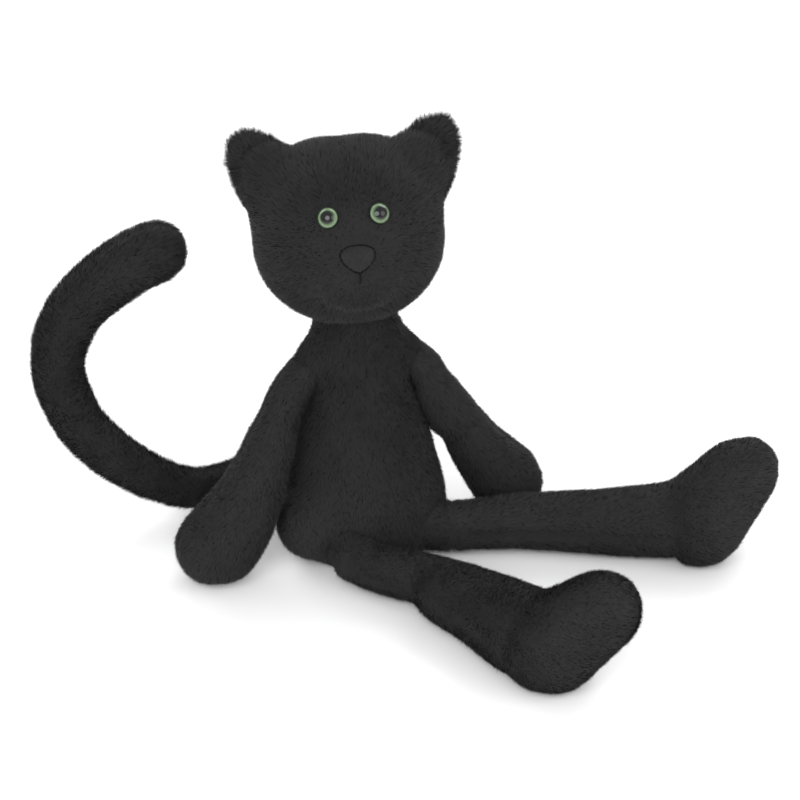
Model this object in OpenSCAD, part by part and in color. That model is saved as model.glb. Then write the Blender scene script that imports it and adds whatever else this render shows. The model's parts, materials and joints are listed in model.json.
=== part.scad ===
// A sitting plush cat: sewn pile-fabric covers over fibre filling and bags of beads.
// Millimetres, +Z up. The origin is the middle of the flat seat. The cat faces -Y and its left side is +X.
// Each limb, the head and the tail swivel on a ball of gathered cloth or filling that sits in two cups.

/* [Body] */
// Widest radius of the body, near the seat
body_r = 45; // [44:0.5:46]
// Radius of the body at the shoulders
shoulder_r = 25; // [24.5:0.5:25.5]
// Height of the top edge of the body
body_h = 136; // [134:1:137]
// Thickness of the pile fabric
pile_t = 4; // [3:0.5:5]

/* [Head] */
// Width of the head from cheek to cheek
head_w = 100; // [97:1:103]
// Height and depth of the head
head_h = 97; // [94:1:99]
// How far the face looks up, in degrees
face_pitch = 20; // [15:1:25]
// Length of an ear from the middle of its seam
ear_len = 30; // [27:1:33]

/* [Face] */
// Diameter of an eye
eye_d = 10.5; // [9:0.5:12]
// Distance between the middles of the eyes
eye_gap = 25; // [23:1:28]
// Width of the nose pad
nose_w = 18; // [16:1:21]

/* [Limbs] */
// Radius of the ball of gathered cloth at a shoulder
shoulder_ball_r = 9; // [8:0.5:9]
// Radius of the ball of gathered cloth at a hip
hip_ball_r = 12; // [11:0.5:12]
// Radius of a paw
paw_r = 21; // [19:0.5:21]
// Length of a foot from heel to toe
foot_len = 82; // [79:1:84]
// Half the width of a heel
heel_r = 28; // [27:0.5:28.5]

/* [Tail] */
// Radius of the tail near its tip
tail_tip_r = 16.5; // [15:0.5:17.5]

/* [Hidden] */

$fn = 48;
big = 600;              // a block larger than the cat
ball_gap = 0.5;         // room between a ball and its cup
fit = 0.2;              // room between a cover and its filling
sides = 16;             // sides of a limb's section
spline_steps = 2;       // stations between two chosen points of a limb
cap_rings = 3;          // rings in a limb's rounded end
seat_bag_r = 24;
seat_bag_h = 24;
stem_r = 2;             // stem of a safety eye
stem_len = 14;
washer_r = 6.5;
washer_t = 1.5;
washer_back = 11;       // from the face in to the washer
neck_ball_r = 22;
tail_ball_r = 9.5;
bend_r = 14.5;

// Joint centres
neck_at = [-5, -7, 138];
head_at = [-10.8, -18, 195];
head_turned = [-face_pitch, -2.2, -5];
shoulder_at = [[25, -6, 112], [-31, -9, 113]];
hip_at = [[42, -28, 17], [-17, -48, 16]];
tail_at = [0, 51.5, 25];
bend_at = [-152.5, 30, 82.5];

// Centrelines as [x, y, z, radius], from the body outwards; left first, then right
arm_path = [
    [[31.5, -5, 103.8, 8], [40.8, -4, 90, 12], [49.5, -2, 73, 14.5], [58.5, 2, 54, 16.5],
     [70, 5, 36, 18.5], [81, 6, 21, paw_r]],
    [[-39.2, -11, 105, 8], [-45.5, -13.5, 92, 12], [-53, -17.5, 75, 15.5], [-63, -22, 52, 17.5],
     [-76, -25.5, 34, 19.5], [-87, -28, 21.5, paw_r]]
];
leg_path = [
    [[54.6, -29.2, 17, 13], [64, -30, 17.5, 15], [80, -32, 17.5, 16], [105, -38.5, 18, 17],
     [132, -46, 19, 18.5], [158, -53, 21, 20.5]],
    [[-7.4, -57.8, 16, 12], [4, -64, 16, 14], [28, -84.5, 16.5, 15.5], [44.5, -111, 18.5, 18.5],
     [59, -141, 22, 22]]
];
tail_base_path = [
    [-9.6, 56, 23.5, 9], [-20, 59, 20, 11], [-45, 57, 15, 11.5], [-68, 47, 14, 11.5], [-89, 37, 18, 12],
    [-112.5, 31, 32.5, 13], [-134, 30, 52, 14], [-147.5, 30, 69.5, 14], [-152.5, 30, 82.5, bend_r]
];
tail_tip_path = [
    [-152.5, 30, 82.5, bend_r], [-157.5, 30, 99, 14.5], [-156, 30, 119, 15], [-147.5, 30, 137.5, 15.5],
    [-132, 30, 152.5, 16], [-114.5, 30, 163.5, tail_tip_r], [-102.5, 30, 168.5, tail_tip_r]
];
paw_station = 7;        // the bead bag fills the arm from here to its end

// Feet: the middle of the heel, the way from heel to toe and the way the sole faces
heel_at = [[174.5, -58.5, 24], [66, -155, 23.5]];
toe_way = [[0.62, 0, 0.79], [0.64, -0.22, 0.74]];
sole_way = [[0.79, 0, -0.62], [0.2, -0.86, -0.43]];
toe_share = 0.8;        // radius of the toe end against the heel's
foot_flat = 0.82;       // thickness of a foot against its width
ankle_r = 9;            // opening of a foot's cover to its leg

// Face, in the head's own frame
head_curve = 0.92;      // 1 is round, less is squarer
head_steps = 24;
muzzle_r = 25;
muzzle_at = [0, -head_h / 2 + muzzle_r - 6, -13];
eye_up = 12;
eye_sunk = 3;           // from the front of the face in to an eye's base
eye_turned = [76, 0, 16];
eye_lip = 1;            // the dome starts this far above an eye's base
nose_at = [0, -head_h / 2 - 4, -7];
nose_turned = [8, 0, 0];
nose_edge_r = 4;
nose_top = 4;           // middle of an upper corner
nose_bottom = -5;       // middle of the lower corner
mouth_at = [0, -head_h / 2 - 5.5, -21];
mouth_turned = [-14, 0, 0];
mouth_len = 5;
thread_r = 0.8;

// Ears: each is a flat triangle with round corners, from a seam on the side of the head
ear_seam = [[26, 40], [46, 17]];    // inner and outer end of the seam, sideways and up from the head's middle
ear_way = [0.67, 0.74];             // the way the ear points from the middle of its seam
ear_back = 2;                       // behind the head's middle
ear_seam_r = 4;
ear_seam_t = 7;
ear_tip_r = 9;
ear_tip_t = 5;

skin_col = [0.13, 0.13, 0.135];
fill_col = [0.9, 0.9, 0.88];
bead_col = [0.75, 0.8, 0.85];

// ---------- curves and sweeps ----------

function unit(v) = v / norm(v);
function centre_of(s) = [s[0], s[1], s[2]];
function above(p, floor_z) = [p[0], p[1], max(p[2], floor_z)];

// Catmull-Rom point between b and c
function curve_point(a, b, c, d, s) =
    0.5 * (2 * b + (c - a) * s + (2 * a - 5 * b + 4 * c - d) * s * s + (3 * b - a - 3 * c + d) * s * s * s);

function smooth(path) = let (last = len(path) - 1) concat(
    [for (i = [0 : last - 1], k = [0 : spline_steps - 1])
        curve_point(path[max(i - 1, 0)], path[i], path[i + 1], path[min(i + 2, last)], k / spline_steps)],
    [path[last]]);

function heading(path, i) =
    unit(centre_of(path[min(i + 1, len(path) - 1)]) - centre_of(path[max(i - 1, 0)]));

// A ring is [centre, heading, radius]. A rounded end adds rings that shrink to a pole.
function ring_of(path, i, inset) = [centre_of(path[i]), heading(path, i), path[i][3] - inset];
function shrunk(ring, k, way) = let (a = 90 * k / cap_rings)
    [ring[0] + ring[1] * way * ring[2] * sin(a), ring[1], k == cap_rings ? 0 : ring[2] * cos(a)];
function rings_of(path, inset, from, to, round_start, round_end) = let (
    first = ring_of(path, from, inset),
    last = ring_of(path, to, inset)
) concat(
    round_start ? [for (k = [cap_rings : -1 : 1]) shrunk(first, k, -1)] : [],
    [for (i = [from : to]) ring_of(path, i, inset)],
    round_end ? [for (k = [1 : cap_rings]) shrunk(last, k, 1)] : []);

// Point of a ring at an angle from the side that faces front, where flat thins the ring
function ring_point(ring, angle, front, floor_z, flat = 1) = let (
    e1 = unit(front - ring[1] * (front * ring[1])),
    e2 = cross(ring[1], e1)
) above(ring[0] + (e1 * cos(angle) * flat + e2 * sin(angle)) * ring[2], floor_z);

function distinct(f) = f[0] != f[1] && f[1] != f[2] && f[0] != f[2];

// Triangle t, 0 or 1, of the wall between four points in a ring round it, cut along one diagonal or the other
function wall(a, b, c, d, flip, t) =
    flip ? (t == 0 ? [a, b, d] : [b, c, d]) : (t == 0 ? [a, b, c] : [a, c, d]);

// A solid sweep from one station to another
module swept(path, inset, front, from, to, round_start, round_end, flat = 1) {
    rings = rings_of(path, inset, from, to, round_start, round_end);
    floor_z = inset;
    top = len(rings) - 1;
    points = [for (r = rings, j = [0 : sides - 1]) ring_point(r, 360 * j / sides, front, floor_z, flat)];
    function at(i, j) = i * sides + (rings[i][2] == 0 ? 0 : j % sides);
    walls = [for (i = [0 : top - 1], j = [0 : sides - 1], t = [0, 1])
        wall(at(i, j), at(i + 1, j), at(i + 1, j + 1), at(i, j + 1), false, t)];
    ends = [for (j = [1 : sides - 2], t = [0, 1])
        t == 0 ? [at(0, 0), at(0, j), at(0, j + 1)] : [at(top, 0), at(top, j + 1), at(top, j)]];
    polyhedron(points, [for (f = concat(walls, ends)) if (distinct(f)) f]);
}

// Half of a sweep's cover, the half that faces front: an outer wall, an inner wall and two seam edges
module half_cover(path, front, round_start, round_end) {
    last = len(path) - 1;
    outer = rings_of(path, 0, 0, last, round_start, round_end);
    inner = rings_of(path, pile_t, 0, last, round_start, round_end);
    top = len(outer) - 1;
    half = sides / 2;
    n = 2 * (half + 1);
    function angle(j) = 180 * (j <= half ? j : n - 1 - j) / half - 90;
    points = [for (i = [0 : top], j = [0 : n - 1]) j <= half
        ? ring_point(outer[i], angle(j), front, 0)
        : ring_point(inner[i], angle(j), front, pile_t)];
    function at(i, j) = i * n + (outer[i][2] == 0 ? (j % n <= half ? 0 : n - 1) : j % n);
    // One seam edge is cut along the other diagonal, so that it matches the opposite half's
    walls = [for (i = [0 : top - 1], j = [0 : n - 1], t = [0, 1])
        wall(at(i, j), at(i + 1, j), at(i + 1, j + 1), at(i, j + 1), j == half, t)];
    ends = [for (j = [0 : half - 1], t = [0 : 3])
        t == 0 ? [at(0, j), at(0, j + 1), at(0, n - 2 - j)]
        : t == 1 ? [at(0, j), at(0, n - 2 - j), at(0, n - 1 - j)]
        : t == 2 ? [at(top, j), at(top, n - 2 - j), at(top, j + 1)]
        : [at(top, j), at(top, n - 1 - j), at(top, n - 2 - j)]];
    polyhedron(points, [for (f = concat(walls, ends)) if (distinct(f)) f]);
}

module above_floor(floor_z) intersection() {
    children();
    translate([-big / 2, -big / 2, floor_z]) cube(big);
}

// ---------- body ----------

// Outline of the body as [radius, height], a pear with an open top
function body_outline(inset) = [
    [0, -8 + inset], [35 - inset, -8 + inset], [body_r - 5 - inset, 4], [body_r - 1 - inset, 12],
    [body_r - inset, 22], [body_r - 1.5 - inset, 36], [body_r - 4.5 - inset, 50], [body_r - 8 - inset, 66],
    [shoulder_r + 8 - inset, 80], [shoulder_r + 4.5 - inset, 94], [shoulder_r + 1.5 - inset, 108],
    [shoulder_r - inset, 118], [shoulder_r - inset, 128], [shoulder_r - inset, body_h],
    [0, body_h]];

body_lean = [atan(-neck_at[1] / neck_at[2]), atan(neck_at[0] / neck_at[2]), 0];

module body_form(inset) above_floor(inset) rotate(body_lean) rotate_extrude() polygon(body_outline(inset));

module body_cups() {
    translate(neck_at) sphere(neck_ball_r + ball_gap);
    for (p = shoulder_at) translate(p) sphere(shoulder_ball_r + ball_gap);
    for (p = hip_at) translate(p) sphere(hip_ball_r + ball_gap);
    translate(tail_at) sphere(tail_ball_r + ball_gap);
}

module body_cover() difference() {
    body_form(0);
    body_form(pile_t);
    body_cups();
}

// The part of the body's cover in a block from corner low to corner high
module cover_part(low, high) color(skin_col) intersection() {
    body_cover();
    translate(low) cube(high - low);
}

module belly_panel() cover_part([-big, -big, pile_t], [big, 0, big]);
module left_back_panel() cover_part([0, 0, pile_t], [big, big, big]);
module right_back_panel() cover_part([-big, 0, pile_t], [0, big, big]);
module seat_panel() cover_part([-big, -big, 0], [big, big, pile_t]);

module seat_bag_form(room) translate([0, 0, pile_t + 2 - room])
    cylinder(seat_bag_h + 2 * room, r = seat_bag_r + room);

module body_stuffing() color(fill_col) difference() {
    body_form(pile_t + fit);
    seat_bag_form(fit);
    body_cups();
}

module seat_bead_bag() color(bead_col) seat_bag_form(0);

// ---------- neck and head ----------

module neck_stuffing() color(fill_col) translate(neck_at) sphere(neck_ball_r);

// Outline of the head from its middle to one cheek, turned about the line from cheek to cheek
function head_outline(inset) = let (w = head_w / 2 - inset, r = head_h / 2 - inset) concat(
    [[0, -w]],
    [for (k = [1 : head_steps - 1]) let (a = -90 + 180 * k / head_steps)
        [r * pow(cos(a), head_curve), w * sin(a)]],
    [[0, w]]);

module head_form(inset) {
    rotate([0, 90, 0]) rotate_extrude() polygon(head_outline(inset));
    translate(muzzle_at) sphere(muzzle_r - inset);
}

module in_head() translate(head_at) rotate(head_turned) children();

module neck_cup() translate(neck_at) sphere(neck_ball_r + ball_gap);

// Places something at an eye's stem, +Z pointing out of the face
module at_eye(side) translate([side * eye_gap / 2, -head_h / 2 + eye_sunk, eye_up])
    rotate([eye_turned[0], eye_turned[1], side * eye_turned[2]]) children();

module head_cover() difference() {
    in_head() head_form(0);
    in_head() head_form(pile_t);
    neck_cup();
    in_head() for (side = [-1, 1]) at_eye(side) cylinder(2 * stem_len, r = stem_r + fit, center = true);
}

module head_half(way) color(skin_col) intersection() {
    head_cover();
    in_head() translate([-big / 2, way > 0 ? 0 : -big, -big / 2]) cube(big);
}

module face_panel() head_half(-1);
module head_back_panel() head_half(1);

module head_stuffing() color(fill_col) difference() {
    in_head() head_form(pile_t + fit);
    neck_cup();
    in_head() for (side = [-1, 1]) at_eye(side) translate([0, 0, -stem_len - fit])
        cylinder(stem_len + fit, r = washer_r + fit);
}

module ear_corner(side, at, r, thick) translate([side * at[0], ear_back, at[1]]) rotate([90, 0, 0])
    cylinder(thick, r = r, center = true, $fn = 20);

module ear(side) color(skin_col) difference() {
    tip_at = (ear_seam[0] + ear_seam[1]) / 2 + ear_way * (ear_len - ear_tip_r);
    in_head() hull() {
        for (at = ear_seam) ear_corner(side, at, ear_seam_r, ear_seam_t);
        ear_corner(side, tip_at, ear_tip_r, ear_tip_t);
    }
    in_head() head_form(-fit);
}

module left_ear() ear(1);
module right_ear() ear(-1);

// A safety eye: a domed button with a ribbed stem through the face
module eye(side) color([0.45, 0.62, 0.42]) in_head() at_eye(side) {
    difference() {
        translate([0, 0, 1.5 - eye_d * 0.25]) sphere(eye_d * 0.56);
        translate([0, 0, eye_lip - big]) cylinder(big, r = eye_d);
    }
    translate([0, 0, eye_lip - stem_len]) cylinder(stem_len + fit, r = stem_r);
}

module left_eye() eye(1);
module right_eye() eye(-1);

module eye_washer(side) color([0.92, 0.92, 0.9]) in_head() at_eye(side)
    translate([0, 0, -washer_back]) difference() {
        cylinder(washer_t, r = washer_r);
        translate([0, 0, -fit]) cylinder(washer_t + 2 * fit, r = stem_r);
    }

module left_eye_washer() eye_washer(1);
module right_eye_washer() eye_washer(-1);

// The nose is a padded shield with round corners
module nose_pad() color([0.2, 0.2, 0.21]) difference() {
    in_head() translate(nose_at) rotate(nose_turned) hull() {
        for (side = [-1, 1]) translate([side * (nose_w / 2 - nose_edge_r), 0, nose_top])
            sphere(nose_edge_r, $fn = 20);
        translate([0, 0, nose_bottom]) sphere(nose_edge_r, $fn = 20);
    }
    in_head() head_form(-fit);
}

module mouth_stitch() color([0.05, 0.05, 0.05]) in_head()
    translate(mouth_at) rotate(mouth_turned) cylinder(mouth_len, r = thread_r);

// ---------- arms and legs ----------

front = [0, -1, 0];
back = [0, 1, 0];
up = [0, 0, 1];
down = [0, 0, -1];

module arm_cover(i, facing) color(skin_col) half_cover(smooth(arm_path[i]), facing, false, true);
module arm_filling(i) color(fill_col)
    swept(smooth(arm_path[i]), pile_t + fit, front, 0, paw_station, false, false);
module paw_filling(i) color(bead_col) let (path = smooth(arm_path[i]))
    swept(path, pile_t + fit, front, paw_station, len(path) - 1, false, true);

module shoulder_gather(i) color(skin_col) translate(shoulder_at[i]) sphere(shoulder_ball_r);
module hip_gather(i) color(skin_col) translate(hip_at[i]) sphere(hip_ball_r);

function foot_path(i) = let (
    ends = heel_r * (1 + toe_share),
    steps = 3
) [for (k = [0 : steps]) concat(
    heel_at[i] + unit(toe_way[i]) * (foot_len - ends) * k / steps,
    heel_r * (1 + (toe_share - 1) * k / steps))];

module foot_form(i, inset) let (path = foot_path(i))
    swept(path, inset, sole_way[i], 0, len(path) - 1, true, true, foot_flat);

module leg_part(i) difference() {
    children();
    foot_form(i, -fit);
}

module leg_cover(i, facing) color(skin_col) leg_part(i)
    half_cover(smooth(leg_path[i]), facing, false, false);
module leg_filling(i) color(fill_col) leg_part(i)
    let (path = smooth(leg_path[i]))
        swept(path, pile_t + fit, up, 0, len(path) - 1, false, false);
module foot_cover(i) color(skin_col) difference() {
    foot_form(i, 0);
    foot_form(i, pile_t);
    hull() {
        translate(centre_of(leg_path[i][len(leg_path[i]) - 1])) sphere(ankle_r, $fn = 16);
        translate(heel_at[i]) sphere(ankle_r, $fn = 16);
    }
}
module foot_beads(i) color(bead_col) foot_form(i, pile_t + fit);

module left_shoulder_gather() shoulder_gather(0);
module left_arm_front_panel() arm_cover(0, front);
module left_arm_back_panel() arm_cover(0, back);
module left_arm_stuffing() arm_filling(0);
module left_paw_beads() paw_filling(0);
module right_shoulder_gather() shoulder_gather(1);
module right_arm_front_panel() arm_cover(1, front);
module right_arm_back_panel() arm_cover(1, back);
module right_arm_stuffing() arm_filling(1);
module right_paw_beads() paw_filling(1);

module left_hip_gather() hip_gather(0);
module left_leg_top_panel() leg_cover(0, up);
module left_leg_bottom_panel() leg_cover(0, down);
module left_leg_stuffing() leg_filling(0);
module left_foot_cover() foot_cover(0);
module left_foot_beads() foot_beads(0);
module right_hip_gather() hip_gather(1);
module right_leg_top_panel() leg_cover(1, up);
module right_leg_bottom_panel() leg_cover(1, down);
module right_leg_stuffing() leg_filling(1);
module right_foot_cover() foot_cover(1);
module right_foot_beads() foot_beads(1);

// ---------- tail ----------

// The base section is hollowed where the tip section's round end turns in it
module bend_cup() difference() {
    children();
    translate(bend_at) sphere(bend_r + ball_gap);
}

module tail_root_gather() color(skin_col) translate(tail_at) sphere(tail_ball_r);
module tail_base_cover(facing) color(skin_col) bend_cup()
    half_cover(smooth(tail_base_path), facing, false, false);
module tail_base_front_panel() tail_base_cover(front);
module tail_base_back_panel() tail_base_cover(back);
module tail_base_stuffing() color(fill_col) bend_cup()
    let (path = smooth(tail_base_path))
        swept(path, pile_t + fit, front, 0, len(path) - 1, false, false);
module tail_tip_front_panel() color(skin_col) half_cover(smooth(tail_tip_path), front, true, true);
module tail_tip_back_panel() color(skin_col) half_cover(smooth(tail_tip_path), back, true, true);
module tail_tip_stuffing() color(fill_col)
    let (path = smooth(tail_tip_path))
        swept(path, pile_t + fit, front, 0, len(path) - 1, true, true);

belly_panel();
left_back_panel();
right_back_panel();
seat_panel();
body_stuffing();
seat_bead_bag();
neck_stuffing();
face_panel();
head_back_panel();
head_stuffing();
left_ear();
right_ear();
left_eye();
right_eye();
left_eye_washer();
right_eye_washer();
nose_pad();
mouth_stitch();
left_shoulder_gather();
left_arm_front_panel();
left_arm_back_panel();
left_arm_stuffing();
left_paw_beads();
right_shoulder_gather();
right_arm_front_panel();
right_arm_back_panel();
right_arm_stuffing();
right_paw_beads();
left_hip_gather();
left_leg_top_panel();
left_leg_bottom_panel();
left_leg_stuffing();
left_foot_cover();
left_foot_beads();
right_hip_gather();
right_leg_top_panel();
right_leg_bottom_panel();
right_leg_stuffing();
right_foot_cover();
right_foot_beads();
tail_root_gather();
tail_base_front_panel();
tail_base_back_panel();
tail_base_stuffing();
tail_tip_front_panel();
tail_tip_back_panel();
tail_tip_stuffing();
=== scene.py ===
import json
import math

import bmesh
import bpy
import numpy as np
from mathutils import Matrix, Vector
from mathutils.bvhtree import BVHTree


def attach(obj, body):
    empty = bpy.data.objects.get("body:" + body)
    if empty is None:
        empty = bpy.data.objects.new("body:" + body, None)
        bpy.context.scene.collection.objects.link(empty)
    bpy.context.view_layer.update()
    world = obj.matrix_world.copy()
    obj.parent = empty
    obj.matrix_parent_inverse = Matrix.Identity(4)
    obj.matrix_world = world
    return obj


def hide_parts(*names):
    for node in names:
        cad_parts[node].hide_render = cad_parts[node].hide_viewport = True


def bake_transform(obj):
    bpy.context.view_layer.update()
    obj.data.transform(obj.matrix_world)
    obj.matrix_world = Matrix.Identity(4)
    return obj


MM = 0.001
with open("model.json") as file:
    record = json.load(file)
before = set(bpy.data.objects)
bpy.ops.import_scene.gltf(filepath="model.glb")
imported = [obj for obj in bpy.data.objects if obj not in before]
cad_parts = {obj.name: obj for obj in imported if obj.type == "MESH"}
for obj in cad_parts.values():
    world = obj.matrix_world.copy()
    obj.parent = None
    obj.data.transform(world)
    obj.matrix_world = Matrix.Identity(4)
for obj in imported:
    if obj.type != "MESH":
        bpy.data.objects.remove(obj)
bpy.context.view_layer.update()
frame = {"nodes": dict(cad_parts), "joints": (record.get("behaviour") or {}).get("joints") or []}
nodes = frame["nodes"]
joint_at = {j["name"]: np.array(j["pos_m"]) for j in frame["joints"]}
rng = np.random.default_rng(11)

HEAD_AT = np.array([-0.0108, -0.018, 0.195])
HEAD_TURNED = (-20, -2.2, -5)


# ---------- small helpers ----------


def unit(v):
    return v / np.maximum(np.linalg.norm(v, axis=-1, keepdims=True), 1e-12)


def turn(degrees_xyz):
    """Rotation matrix of an X, then Y, then Z turn."""
    x, y, z = (math.radians(a) for a in degrees_xyz)
    rx = np.array([[1, 0, 0], [0, math.cos(x), -math.sin(x)], [0, math.sin(x), math.cos(x)]])
    ry = np.array([[math.cos(y), 0, math.sin(y)], [0, 1, 0], [-math.sin(y), 0, math.cos(y)]])
    rz = np.array([[math.cos(z), -math.sin(z), 0], [math.sin(z), math.cos(z), 0], [0, 0, 1]])
    return rz @ ry @ rx


HEAD_TURN = turn(HEAD_TURNED)


def to_head(p):
    """Points in the head's own frame, in millimetres."""
    return (p - HEAD_AT) @ HEAD_TURN / MM


def from_head(p):
    return np.asarray(p, float) * MM @ HEAD_TURN.T + HEAD_AT


def lattice(ix, iy, iz, seed):
    h = (ix * 374761393 + iy * 668265263 + iz * 2147483647 + seed * 1274126177) & 0xFFFFFFFF
    h = ((h ^ (h >> 13)) * 1274126177) & 0xFFFFFFFF
    return (h ^ (h >> 16)) / 2147483648.0 - 1


def noise(p, size, seed):
    """Smooth noise from -1 to 1 at points p, with lumps of that size in millimetres."""
    q = np.asarray(p) / (size * MM) + 1000
    i = np.floor(q).astype(np.int64)
    f = q - i
    f = f * f * (3 - 2 * f)
    total = np.zeros(len(q))
    for dx in (0, 1):
        for dy in (0, 1):
            for dz in (0, 1):
                share = (
                    (f[:, 0] if dx else 1 - f[:, 0])
                    * (f[:, 1] if dy else 1 - f[:, 1])
                    * (f[:, 2] if dz else 1 - f[:, 2])
                )
                total += share * lattice(i[:, 0] + dx, i[:, 1] + dy, i[:, 2] + dz, seed)
    return total


def noise_vector(p, size, seed):
    return np.stack([noise(p, size, seed + k) for k in range(3)], axis=1)


def bump(x, width):
    return np.exp(-((x / width) ** 2))


def link(obj):
    bpy.context.scene.collection.objects.link(obj)
    return obj


def points_of(obj):
    co = np.empty(len(obj.data.vertices) * 3)
    obj.data.vertices.foreach_get("co", co)
    return co.reshape(-1, 3)


def normals_of(obj):
    no = np.empty(len(obj.data.vertices) * 3)
    obj.data.vertices.foreach_get("normal", no)
    return no.reshape(-1, 3)


def set_points(obj, co):
    obj.data.vertices.foreach_set("co", np.round(co, 6).astype(np.float32).ravel())
    obj.data.update()


def mesh_object(name, points, faces, material):
    mesh = bpy.data.meshes.new(name)
    mesh.from_pydata([tuple(p) for p in points], [], [tuple(f) for f in faces])
    mesh.materials.append(material)
    mesh.polygons.foreach_set("use_smooth", [True] * len(mesh.polygons))
    mesh.validate()
    mesh.update()
    return link(bpy.data.objects.new(name, mesh))


def settled(obj):
    """Replaces obj's mesh by what its modifiers make of it."""
    dg = bpy.context.evaluated_depsgraph_get()
    mesh = bpy.data.meshes.new_from_object(obj.evaluated_get(dg))
    obj.modifiers.clear()
    obj.data = mesh
    return obj


# ---------- materials ----------


def node_material(name):
    m = bpy.data.materials.new(name)
    m.use_nodes = True
    nt = m.node_tree
    shader = nt.nodes["Principled BSDF"]
    return m, nt, shader


def add(nt, kind, **inputs):
    n = nt.nodes.new(kind)
    for k, v in inputs.items():
        n.inputs[k.replace("_", " ")].default_value = v
    return n


def grey(v, tint=(1.0, 0.985, 1.0)):
    return (v * tint[0], v * tint[1], v * tint[2], 1)


def pile_material(name, root, tip):
    """Pile: dark at the root, lighter at the tip as painted shade deep in the pile, with each tuft's own
    level, painted shade and light included, and slow patches.
    """
    m, nt, shader = node_material(name)
    tone_and_painted_light = add(nt, "ShaderNodeAttribute")
    tone_and_painted_light.attribute_name = "tone_and_painted_light"
    along = add(nt, "ShaderNodeAttribute")
    along.attribute_name = "along"
    ramp = nt.nodes.new("ShaderNodeMix")
    ramp.data_type = "RGBA"
    ramp.inputs["A"].default_value = grey(root)
    ramp.inputs["B"].default_value = grey(tip)
    nt.links.new(along.outputs["Fac"], ramp.inputs["Factor"])
    where = add(nt, "ShaderNodeTexCoord")
    patches = add(nt, "ShaderNodeTexNoise", Scale=60.0, Detail=3.0)
    nt.links.new(where.outputs["Object"], patches.inputs["Vector"])
    level = add(nt, "ShaderNodeMapRange")
    level.inputs["To Min"].default_value = 0.88
    level.inputs["To Max"].default_value = 1.12
    nt.links.new(patches.outputs["Fac"], level.inputs["Value"])
    product = nt.nodes.new("ShaderNodeMath")
    product.operation = "MULTIPLY"
    nt.links.new(tone_and_painted_light.outputs["Fac"], product.inputs[0])
    nt.links.new(level.outputs["Result"], product.inputs[1])
    scaled = nt.nodes.new("ShaderNodeVectorMath")
    scaled.operation = "SCALE"
    nt.links.new(ramp.outputs["Result"], scaled.inputs[0])
    nt.links.new(product.outputs["Value"], scaled.inputs["Scale"])
    nt.links.new(scaled.outputs["Vector"], shader.inputs["Base Color"])
    shader.inputs["Roughness"].default_value = 0.8
    shader.inputs["Specular IOR Level"].default_value = 0.2
    shader.inputs["Sheen Weight"].default_value = 0.03
    shader.inputs["Sheen Roughness"].default_value = 0.5
    return m


def skin_material():
    """The knitted backing under the pile."""
    m, nt, shader = node_material("pile_backing")
    where = add(nt, "ShaderNodeTexCoord")
    knit = add(nt, "ShaderNodeTexWave", Scale=700.0, Distortion=1.5)
    nt.links.new(where.outputs["Object"], knit.inputs["Vector"])
    ramp = nt.nodes.new("ShaderNodeValToRGB")
    ramp.color_ramp.elements[0].color = grey(0.014)
    ramp.color_ramp.elements[1].color = grey(0.021)
    nt.links.new(knit.outputs["Fac"], ramp.inputs["Fac"])
    nt.links.new(ramp.outputs["Color"], shader.inputs["Base Color"])
    shader.inputs["Roughness"].default_value = 0.95
    shader.inputs["Specular IOR Level"].default_value = 0.1
    return m


BACKING = skin_material()
# Every pile is darker at the root than at the tip: painted shade deep in the pile.
PILE = pile_material("black_pile", 0.0225, 0.029)
# The ears' copy of the same black pile, with a darker root: painted shade on the ears.
SHADED_EAR_PILE = pile_material("black_pile_ear_shaded", 0.0215, 0.029)

# ---------- skins ----------

VOXEL = 3.2
SIM_FRAMES = 20
SIM_CAP = 1.5
SEAM_HALF = 1.6         # half the width of the crease along a seam
SEAM_DEPTH = 0.9


def distances(names, p):
    """How far each point is from the nearest of the named CAD pieces."""
    points, faces = [], []
    for n in names:
        mesh = nodes[n].data
        base = len(points)
        points += [v.co.copy() for v in mesh.vertices]
        faces += [[v + base for v in f.vertices] for f in mesh.polygons]
    tree = BVHTree.FromPolygons(points, faces)
    return np.array([tree.find_nearest(Vector(q))[3] for q in p])


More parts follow.
